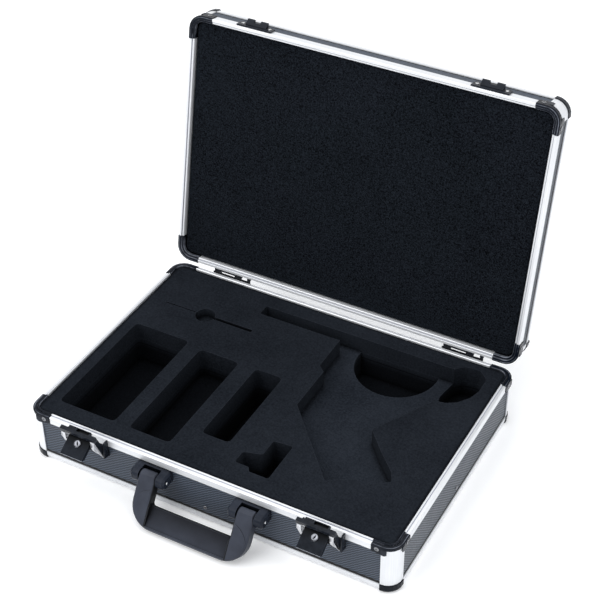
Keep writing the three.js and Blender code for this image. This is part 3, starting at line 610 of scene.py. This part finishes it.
def metal(name, look):
    recipe = Recipe(name)
    cloud = recipe.noiseOf(look["cloud"], 3, 0.6)
    dark = tuple(part * look["darker"] for part in look["colour"])
    recipe.link(recipe.ramp(cloud, (0.3, dark), (0.7, look["colour"])), recipe.bsdf.inputs["Base Color"])
    recipe.link(recipe.span(cloud, *look["rough"]), recipe.bsdf.inputs["Roughness"])
    recipe.feed(recipe.bsdf.inputs["Metallic"], 1)
    recipe.bump(cloud, *look["bump"])
    return recipe.material


cheekLook = {
    **steelLook,
    "rough": (0.24, 0.4),
    "cloud": 300,
    "bump": (0.15, 0.05 * mm),
    "outer": 20.9 * mm,
    "pivot": (-161 * mm, 48 * mm),
    "lean": math.radians(17),
    "barBelow": 31.6 * mm,
    "bare": (0.66, 0.67, 0.70),
    "metal": 0.35,
    "lip": 0.35 * mm,  # the bar's lower edge, where a painted highlight runs
    "lipSoft": 0.1 * mm,
    "lipHighlight": (0.10, 0.11, 0.13),
}


def latchSteel(name, look):
    # coated black outside and on the bar, bare on the inner cheeks
    recipe = Recipe(name)
    colour, cloud = recipe.coat(look)
    place = recipe.axes(recipe.coords)
    fromLatch = recipe.math("SUBTRACT", recipe.math("ABSOLUTE", place["X"]), case["latch"] * mm)
    inner = recipe.math("LESS_THAN", recipe.math("ABSOLUTE", fromLatch), look["outer"])
    pivot = (look["pivot"][0] + caseY, look["pivot"][1])
    reach = recipe.along(place, pivot, math.sin(look["lean"]), math.cos(look["lean"]))
    bare = recipe.math("MULTIPLY", inner, recipe.math("LESS_THAN", reach, look["barBelow"]))
    # a painted highlight along the bar's lower edge
    lip = recipe.band(reach, look["barBelow"] + look["lip"], look["lip"], look["lipSoft"])
    coat = recipe.blendOf(lip, recipe.cornerShadeEdgeSheen(colour, look), look["lipHighlight"])
    recipe.link(recipe.blendOf(bare, coat, look["bare"]), recipe.bsdf.inputs["Base Color"])
    recipe.link(recipe.math("MULTIPLY", bare, look["metal"]), recipe.bsdf.inputs["Metallic"])
    recipe.link(recipe.span(cloud, *look["rough"]), recipe.bsdf.inputs["Roughness"])
    recipe.feed(recipe.bsdf.inputs["Specular IOR Level"], look["gloss"])
    recipe.bump(cloud, *look["bump"], recipe.softEdge(look["edge"]))
    return recipe.material


aluminiumX = aluminium("brushed aluminium across", "X", grooveShade=baseGrooveShade)
aluminiumY = aluminium("brushed aluminium along", "Y", grooveShade=baseGrooveShade)
aluminiumZ = aluminium("brushed aluminium upright", "Z")
aluminiumLidX = aluminium("brushed lid aluminium across", "X", lidTurn, lidMove, lidStepShade)
aluminiumLidY = aluminium("brushed lid aluminium along", "Y", lidTurn, lidMove, lidStepShade)
aluminiumLidZ = aluminium("brushed lid aluminium upright", "Z", lidTurn, lidMove)
handleBlack = handlePlastic("black handle plastic", handleLook, gripLook)
capPlastic = plainBlack("black corner plastic", capLook)
rimCapPlastic = glintedCap("black rim cap plastic", rimCapLook)
lidCapPlastic = glintedCap("black lid cap plastic", rimCapLook, lidTurn, lidMove)
leverPlastic = leverBlack("black lever plastic", leverLook)
bracketPlastic = plainBlack("black bracket plastic", bracketLook)
blackSteel = plainBlack("black coated steel", steelLook)
boardBase = board("ribbed black laminate", boardLook, baseSeams)
boardLid = board("ribbed black laminate lid", boardLook, lidSeams, lidTurn, lidMove)
insertFoam = foam("fine black foam", foamLook)
liningFoam = foam("coarse black foam", liningLook)
brightSteel = metal("bright steel", brightLook)
lockSteel = metal("lock steel", lockLook)
darkScrew = metal("dark screw steel", capScrewLook)
bareSteel = metal("bare latch steel", bareLook)
frameSteel = latchSteel("coated latch steel", cheekLook)


def dress(obj, material):
    obj.data.materials.clear()
    obj.data.materials.append(material)


for name, obj in nodes.items():
    lid = name.startswith("lid_")
    if "boards" in name:
        dress(obj, boardLid if lid else boardBase)
    elif "_rim_cap_" in name:
        dress(obj, lidCapPlastic if lid else rimCapPlastic)
    elif "corner_foot" in name:
        dress(obj, capPlastic)
    elif name.endswith("lever"):
        dress(obj, leverPlastic)
    elif name == "handle":
        dress(obj, handleBlack)
    elif name.startswith("handle_bracket"):
        dress(obj, bracketPlastic)
    elif "_post_" in name:
        dress(obj, aluminiumLidZ if lid else aluminiumZ)
    elif "_rim_" in name or "_edge_" in name:
        sideways = name.endswith("left") or name.endswith("right")
        if lid:
            dress(obj, aluminiumLidY if sideways else aluminiumLidX)
        else:
            dress(obj, aluminiumY if sideways else aluminiumX)
    elif name in ("foam_insert", "lid_lining"):
        dress(obj, insertFoam)
    elif name.startswith("latch_") and name.endswith("_frame"):
        dress(obj, frameSteel)
    else:
        dress(obj, blackSteel)
print("materials made:", len(bpy.data.materials))


def deselectAll():
    if bpy.context.object and bpy.context.object.mode != "OBJECT":
        bpy.ops.object.mode_set(mode="OBJECT")
    bpy.ops.object.select_all(action="DESELECT")


def pick(obj):
    deselectAll()
    obj.select_set(True)
    bpy.context.view_layer.objects.active = obj


def startEdit(kind):
    # clears the selection of faces or edges, and leaves edit mode so that code can pick them
    bpy.ops.object.mode_set(mode="EDIT")
    bpy.ops.mesh.select_mode(type=kind)
    bpy.ops.mesh.select_all(action="DESELECT")
    bpy.ops.object.mode_set(mode="OBJECT")


def pickFaces(obj, test):
    # leaves the object in edit mode with the faces that pass the test selected
    startEdit("FACE")
    for face in obj.data.polygons:
        face.select = test(face)
    bpy.ops.object.mode_set(mode="EDIT")


def pickEdge(obj, test):
    # leaves the object in edit mode with the edges selected whose ends both pass the test
    startEdit("EDGE")
    for edge in obj.data.edges:
        edge.select = all(test(obj.data.vertices[end].co) for end in edge.vertices)
    bpy.ops.object.mode_set(mode="EDIT")


def smooth(obj, angle):
    pick(obj)
    bpy.ops.object.shade_smooth_by_angle(angle=math.radians(angle))


def applyModifiers(obj):
    pick(obj)
    for modifier in list(obj.modifiers):
        bpy.ops.object.modifier_apply(modifier=modifier.name)


def bevelEdges(obj, width, segments, angle=30):
    edge = obj.modifiers.new("edge", "BEVEL")
    edge.width = width
    edge.segments = segments
    edge.limit_method = "ANGLE"
    edge.angle_limit = math.radians(angle)


def cutBox(obj, size, height=0, turn=0):
    # cuts a box of this size, with its middle at this height, out of a piece
    deselectAll()
    bpy.ops.mesh.primitive_cube_add(size=1, location=(0, 0, height), rotation=(0, 0, turn))
    cutter = bpy.context.object
    cutter.scale = size
    pick(obj)
    cut = obj.modifiers.new("cut", "BOOLEAN")
    cut.object = cutter
    cut.operation = "DIFFERENCE"
    cut.solver = "EXACT"
    applyModifiers(obj)
    bpy.data.objects.remove(cutter)


def settle(obj):
    # moves the object's place into its mesh
    obj.data.transform(obj.matrix_world)
    obj.matrix_world = Matrix.Identity(4)


def finishPiece(obj, material, body, place=None):
    # bakes the place into the mesh, so the object sits at the origin
    if place is not None:
        obj.data.transform(place)
    obj.matrix_world = Matrix.Identity(4)
    dress(obj, material)
    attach(obj, body)


def copyOf(source, name):
    twin = source.copy()
    twin.data = source.data.copy()
    twin.name = name
    bpy.context.collection.objects.link(twin)
    return twin


def fasten(pattern, name, material, body, place):
    # one more screw, rivet or pin end like the pattern
    finishPiece(copyOf(pattern, name), material, body, place)


def facing(direction, spot, spin=0.0):
    # turns a piece modelled with its front along +Z so that it faces a direction
    turn = Vector(direction).to_track_quat("Z", "Y").to_matrix().to_4x4()
    return Matrix.Translation(spot) @ turn @ Matrix.Rotation(spin, 4, "Z")


foamShape = {"join": 0.01 * mm, "flat": 1, "corner": 40, "smooth": 60}  # the last three in degrees
insertShape = {**foamShape, "edge": 0.8 * mm, "steps": 3}
liningShape = {**foamShape, "edge": 2.4 * mm, "steps": 4}


def softCopy(node, name, look):
    # the foam's own form with its cut edges rounded over
    soft = copyOf(nodes[node], name)
    pick(soft)
    bpy.ops.object.mode_set(mode="EDIT")
    bpy.ops.mesh.select_all(action="SELECT")
    bpy.ops.mesh.remove_doubles(threshold=look["join"])
    bpy.ops.mesh.dissolve_limited(angle_limit=math.radians(look["flat"]))
    bpy.ops.object.mode_set(mode="OBJECT")
    bevelEdges(soft, look["edge"], look["steps"], look["corner"])
    applyModifiers(soft)
    smooth(soft, look["smooth"])
    weight = soft.modifiers.new("flat faces", "WEIGHTED_NORMAL")
    weight.weight = 100
    weight.keep_sharp = True
    applyModifiers(soft)
    return soft


insert = softCopy("foam_insert", "cut_foam_insert", insertShape)
finishPiece(insert, insertFoam, "base")
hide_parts("foam_insert")

lining = softCopy("lid_lining", "foam_lining", liningShape)
finishPiece(lining, liningFoam, "lid")
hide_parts("lid_lining")
print("foam done")

screw = {"radius": 2.7 * mm, "dome": 1.1 * mm, "recess": 1.5 * mm, "arm": 0.5 * mm, "deep": 0.7 * mm}
# slope and flat are shares of the radius, rise, crown and cutAt of the dome, small of every size
screwShare = {"slope": 0.25, "rise": 0.3, "flat": 0.3, "crown": 0.12, "cutAt": 1.42, "small": 0.78}


def makeScrew(name, look, share):
    # a domed head with a cross recess
    radius, dome = look["radius"], look["dome"]
    deselectAll()
    bpy.ops.mesh.primitive_cylinder_add(vertices=32, radius=radius, depth=dome, location=(0, 0, dome / 2))
    head = bpy.context.object
    head.name = name
    pick(head)
    pickFaces(head, lambda face: face.normal.z > 0.9)
    bpy.ops.mesh.inset(thickness=radius * share["slope"])
    bpy.ops.transform.translate(value=(0, 0, dome * share["rise"]))
    bpy.ops.mesh.inset(thickness=radius * share["flat"])
    bpy.ops.transform.translate(value=(0, 0, dome * share["crown"]))
    bpy.ops.object.mode_set(mode="OBJECT")
    for turn in (0, math.pi / 2):
        cutBox(head, (look["recess"] * 2, look["arm"], look["deep"] * 2), dome * share["cutAt"], turn)
    smooth(head, 30)
    return head


rivet = {"radius": 2.4 * mm, "rise": 1.1 * mm}
pinEnd = {"radius": 1.5 * mm, "rise": 0.8 * mm}


def makeRivet(name, look):
    # the upper half of a ball, pressed flatter
    deselectAll()
    bpy.ops.mesh.primitive_uv_sphere_add(segments=24, ring_count=12, radius=look["radius"])
    head = bpy.context.object
    head.name = name
    pick(head)
    bpy.ops.object.mode_set(mode="EDIT")
    bpy.ops.mesh.select_all(action="SELECT")
    bpy.ops.mesh.bisect(plane_co=(0, 0, 0), plane_no=(0, 0, 1), clear_inner=True, use_fill=True)
    bpy.ops.mesh.select_all(action="SELECT")
    bpy.ops.transform.resize(value=(1, 1, look["rise"] / look["radius"]))
    bpy.ops.object.mode_set(mode="OBJECT")
    smooth(head, 40)
    return head


screwPattern = makeScrew("screw_pattern", screw, screwShare)
smallSizes = {key: size * screwShare["small"] for key, size in screw.items()}
smallScrew = makeScrew("small_screw_pattern", smallSizes, screwShare)
rivetPattern = makeRivet("rivet_pattern", rivet)
pinPattern = makeRivet("pin_pattern", pinEnd)

capScrew = {"along": 22.4, "down": 5.2, "lidUp": 5.0, "proud": 1.0, "sunk": 0.15, "spin": 0.4}


def capScrews(look):
    # two screws through each rim cap, one on either side of its corner
    count = 0
    heights = {"base": case["rim"] - look["down"], "lid": case["lidRim"] + look["lidUp"]}
    endX, endY = case["halfWidth"] - look["along"], case["halfDepth"] - look["along"]
    faceX, faceY = case["halfWidth"] + look["proud"], case["halfDepth"] + look["proud"]
    for half, height in heights.items():
        for sx in (-1, 1):
            for sy in (-1, 1):
                front = (sx * endX, sy * faceY, (0, sy, 0))
                side = (sx * faceX, sy * endY, (sx, 0, 0))
                for x, y, direction in (front, side):
                    spot = at(x, y, height) - Vector(direction) * look["sunk"] * mm
                    place = standing(half, facing(direction, spot, spin=look["spin"] * count))
                    fasten(screwPattern, f"cap_screw_{half}_{count}", darkScrew, half, place)
                    count += 1
    return count


print("cap screws:", capScrews(capScrew))

wallRivets = [
    ("front_rivet", (0, -154.6, 20.2), (0, -1, 0)),
    ("right_rivet", (224.6, -2, 19.4), (1, 0, 0)),
    ("left_rivet", (-224.6, -2, 19.4), (-1, 0, 0)),
]
rivetSunk = 0.1 * mm
for name, spot, direction in wallRivets:
    place = facing(direction, at(*spot) - Vector(direction) * rivetSunk)
    fasten(rivetPattern, name, darkScrew, "base", place)
print("wall rivets:", len(wallRivets))

keeperShape = {"screwAcross": 17.2, "screwUp": 74.6, "face": 157.8, "spin": 0.6}


def keeperScrews(look):
    # two bright screws through the ears of each keeper
    for side, sx in sides:
        for end in (-1, 1):
            spot = at(sx * case["latch"] + end * look["screwAcross"], -look["face"], look["screwUp"])
            place = standing("lid", facing((0, -1, 0), spot, spin=look["spin"] * end + sx))
            fasten(smallScrew, f"keeper_screw_{side}_{endName(sx, end)}", brightSteel, "lid", place)


keeperScrews(keeperShape)
print("keeper screws done")

hingeShape = {
    "middle": 154.5,
    "base": (-16, 4, 24),  # how far along each leaf its screws stand
    "lid": (-16, 0, 16),
    "face": 157.2,
    "pin": 70.1,  # height of the pin
    "fromPin": 9.4,  # how far below and above it the screws stand
    "spin": 0.9,
}


def hingeScrews(look):
    # three small screws through each leaf of each hinge
    heights = {"base": look["pin"] - look["fromPin"], "lid": look["pin"] + look["fromPin"]}
    for side, sx in sides:
        for half, height in heights.items():
            for number, along in enumerate(look[half]):
                spot = at(sx * look["middle"] + along, look["face"], height)
                place = standing(half, facing((0, 1, 0), spot, spin=look["spin"] * number))
                fasten(smallScrew, f"hinge_screw_{side}_{half}_{number}", brightSteel, half, place)


hingeScrews(hingeShape)
print("hinge screws done")

bracketShape = {"middle": 60, "half": 21.1, "out": 167.5, "up": 49, "proud": 0.05}


def bracketPins(look):
    # the ends of the handle pins, set in the outer faces of the lugs
    for side, sx in sides:
        for end in (-1, 1):
            x = sx * look["middle"] + end * (look["half"] + look["proud"])
            place = facing((end, 0, 0), at(x, -look["out"], look["up"]))
            fasten(pinPattern, f"handle_pin_{side}_{endName(sx, end)}", brightSteel, "base", place)


bracketPins(bracketShape)
print("handle pins done")

lock = {
    "radius": 3.75 * mm,
    "deep": 1.25 * mm,
    "rim": 0.6 * mm,
    "slope": 0.3 * mm,
    "raised": 0.25 * mm,
    "dish": 0.35 * mm,
    "edge": 0.12 * mm,
    "slotLong": 4.8 * mm,
    "slotWide": 1.1 * mm,
    "slotHole": 1.8 * mm,
    "down": 6.6,
    "front": 3.9,
    "across": 0.8,
    "turn": {"left": 0.5, "right": -0.35},
}


def makeLock(look):
    # a round key lock: a raised rim, a dished plug and a keyway
    deep = look["deep"]
    deselectAll()
    bpy.ops.mesh.primitive_cylinder_add(vertices=48, radius=look["radius"], depth=deep,
                                        location=(0, 0, -deep / 2))
    plug = bpy.context.object
    plug.name = "lock_pattern"
    settle(plug)
    pick(plug)
    pickFaces(plug, lambda face: face.normal.z > 0.9)
    bpy.ops.mesh.inset(thickness=look["rim"])
    bpy.ops.transform.translate(value=(0, 0, look["raised"]))
    bpy.ops.mesh.inset(thickness=look["slope"])
    bpy.ops.transform.translate(value=(0, 0, -look["dish"]))
    bpy.ops.object.mode_set(mode="OBJECT")
    cutBox(plug, (look["slotWide"], look["slotLong"], deep))
    cutBox(plug, (look["slotHole"], look["slotHole"], deep))
    bevelEdges(plug, look["edge"], 2)
    applyModifiers(plug)
    smooth(plug, 35)
    return plug


lockPattern = makeLock(lock)
for side, sx in sides:
    axle = jointSpot(f"latch_{side}_lever_fold")
    hang = turnX(-leverOpen, axle)  # from hanging straight down to how it stands
    spot = axle + Vector((lock["across"], -lock["front"], -lock["down"])) * mm
    place = hang @ facing((0, -1, 0), spot, spin=lock["turn"][side])
    fasten(lockPattern, f"key_lock_{side}", lockSteel, f"latch_{side}_lever", place)
print("locks done")

flange = {
    "outer": 19.8,
    "wide": 3.8,
    "thick": 1.2,
    "edge": 0.25,
    "path": ((-176.1, 76.4), (-175.9, 69.0), (-173.6, 62.5), (-169.4, 56.0), (-165.0, 49.6)),
    "tip": 0.35,  # the share of the width that is left at the lower end
}


def makeFlange(name, look, middle, end):
    # the bare front edge of a latch cheek, bent over towards the lever
    wide = look["wide"]
    centre = middle + end * (look["outer"] - wide / 2)
    deselectAll()
    bpy.ops.mesh.primitive_plane_add(size=wide * mm, location=at(centre, 0, 0))
    strip = bpy.context.object
    strip.name = name
    settle(strip)
    pick(strip)
    first, second, *rest = [at(centre, y, z) for y, z in look["path"]]
    for sign, goal in ((-1, second), (1, first)):
        pickEdge(strip, lambda spot: (spot.y - caseY) * sign > 0)
        start = at(centre, sign * wide / 2, 0)
        bpy.ops.transform.translate(value=goal - start)
        bpy.ops.object.mode_set(mode="OBJECT")
    pickEdge(strip, lambda spot: (spot - second).yz.length < 0.01 * mm)
    spot = second
    for goal in rest:
        step = {"value": goal - spot, "orient_type": "GLOBAL"}
        bpy.ops.mesh.extrude_edges_move(TRANSFORM_OT_translate=step)
        spot = goal
    corner = at(middle + end * look["outer"], 0, 0)
    bpy.ops.transform.resize(value=(look["tip"], 1, 1), center_override=(corner.x, spot.y, spot.z))
    bpy.ops.mesh.select_all(action="SELECT")
    bpy.ops.mesh.normals_make_consistent(inside=False)
    bpy.ops.object.mode_set(mode="OBJECT")
    if strip.data.polygons[0].normal.y > 0:
        strip.data.flip_normals()
    sheet = strip.modifiers.new("sheet", "SOLIDIFY")
    sheet.thickness = look["thick"] * mm
    sheet.offset = -1
    bevelEdges(strip, look["edge"] * mm, 2)
    applyModifiers(strip)
    smooth(strip, 40)
    return strip


for side, sx in sides:
    for end in (-1, 1):
        name = f"latch_{side}_flange_{endName(sx, end)}"
        strip = makeFlange(name, flange, sx * case["latch"], end)
        finishPiece(strip, bareSteel, f"latch_{side}_frame")
print("latch flanges done")

for pattern in (screwPattern, smallScrew, rivetPattern, pinPattern, lockPattern):
    bpy.data.objects.remove(pattern)

floorLook = {"size": 14, "colour": (0.93, 0.93, 0.93), "rough": 0.7, "lift": 0.16}


def paleFloor(name, look):
    # what the camera and mirrors see of the floor is lifted a little, which keeps the shadow pale
    recipe = Recipe(name)
    recipe.feed(recipe.bsdf.inputs["Base Color"], look["colour"])
    recipe.feed(recipe.bsdf.inputs["Roughness"], look["rough"])
    recipe.feed(recipe.bsdf.inputs["Emission Color"], (1, 1, 1))
    paths = recipe.add("ShaderNodeLightPath").outputs
    seen = recipe.math("MAXIMUM", paths["Is Camera Ray"], paths["Is Glossy Ray"])
    recipe.link(recipe.math("MULTIPLY", seen, look["lift"]), recipe.bsdf.inputs["Emission Strength"])
    return recipe.material


deselectAll()
bpy.ops.mesh.primitive_plane_add(size=floorLook["size"], location=(0, 0, 0))
floor = bpy.context.object
floor.name = "floor"
settle(floor)
dress(floor, paleFloor("pale floor", floorLook))

lights = [
    {"name": "top", "size": 2.6, "power": 25, "from": (-0.2, 0.2, 2.3), "to": (0, 0, 0.05)},
    {"name": "key", "size": 2.4, "power": 42, "from": (-1.5, -1.9, 2.1), "to": (0, 0, 0.1)},
    {"name": "right", "size": 1.8, "power": 15, "from": (2.2, -0.6, 1.2), "to": (0, 0, 0.1)},
]
for light in lights:
    data = bpy.data.lights.new(light["name"], "AREA")
    data.size = light["size"]
    data.energy = light["power"]
    lamp = bpy.data.objects.new(light["name"], data)
    bpy.context.collection.objects.link(lamp)
    lamp.location = light["from"]
    aim = Vector(light["to"]) - Vector(light["from"])
    lamp.rotation_euler = aim.to_track_quat("-Z", "Y").to_euler()

studio = {"seen": (1, 1, 1), "fill": (0.72, 0.74, 0.77)}


def makeWorld(look):
    # the camera and mirrors see white, and the fill light is a little cooler
    world = bpy.data.worlds.new("studio")
    bpy.context.scene.world = world
    world.use_nodes = True
    tree = world.node_tree
    background = tree.nodes["Background"]
    background.inputs["Strength"].default_value = 1
    paths = tree.nodes.new("ShaderNodeLightPath")
    seen = tree.nodes.new("ShaderNodeMath")
    seen.operation = "MAXIMUM"
    tree.links.new(paths.outputs["Is Camera Ray"], seen.inputs[0])
    tree.links.new(paths.outputs["Is Glossy Ray"], seen.inputs[1])
    sky = tree.nodes.new("ShaderNodeMix")
    sky.data_type = "RGBA"
    sky.inputs[6].default_value = (*look["fill"], 1)
    sky.inputs[7].default_value = (*look["seen"], 1)
    tree.links.new(seen.outputs[0], sky.inputs[0])
    tree.links.new(sky.outputs[2], background.inputs["Color"])


makeWorld(studio)

camera = {
    "turn": 27.256,
    "tilt": 38.388,
    "roll": 0.485,
    "spot": (624.87, -1077.13, 1174.37),
    "focal": 1482.837,  # this and the next two in pixels
    "centre": (31.74, 4.43),
    "frame": 600,
    "sensor": 36,
    "near": 0.05,
    "far": 50,
}


def makeCamera(look):
    data = bpy.data.cameras.new("camera")
    data.sensor_width = look["sensor"]
    data.lens = look["focal"] / look["frame"] * look["sensor"]
    data.shift_x = -look["centre"][0] / look["frame"]
    data.shift_y = look["centre"][1] / look["frame"]
    data.clip_start = look["near"]
    data.clip_end = look["far"]
    turn, tilt, roll = (math.radians(look[key]) for key in ("turn", "tilt", "roll"))
    back = Vector((math.sin(turn) * math.cos(tilt), -math.cos(turn) * math.cos(tilt), math.sin(tilt)))
    right = (-back).cross(Vector((0, 0, 1))).normalized()
    up = right.cross(-back)
    rolledRight = right * math.cos(roll) + up * math.sin(roll)
    rolledUp = up * math.cos(roll) - right * math.sin(roll)
    rows = Matrix((rolledRight, rolledUp, back)).transposed().to_4x4()
    obj = bpy.data.objects.new("camera", data)
    bpy.context.collection.objects.link(obj)
    obj.matrix_world = Matrix.Translation(at(*look["spot"])) @ rows
    bpy.context.scene.camera = obj


makeCamera(camera)
scene = bpy.context.scene
scene.view_settings.view_transform = "Standard"
scene.view_settings.look = "None"
print("stage set")
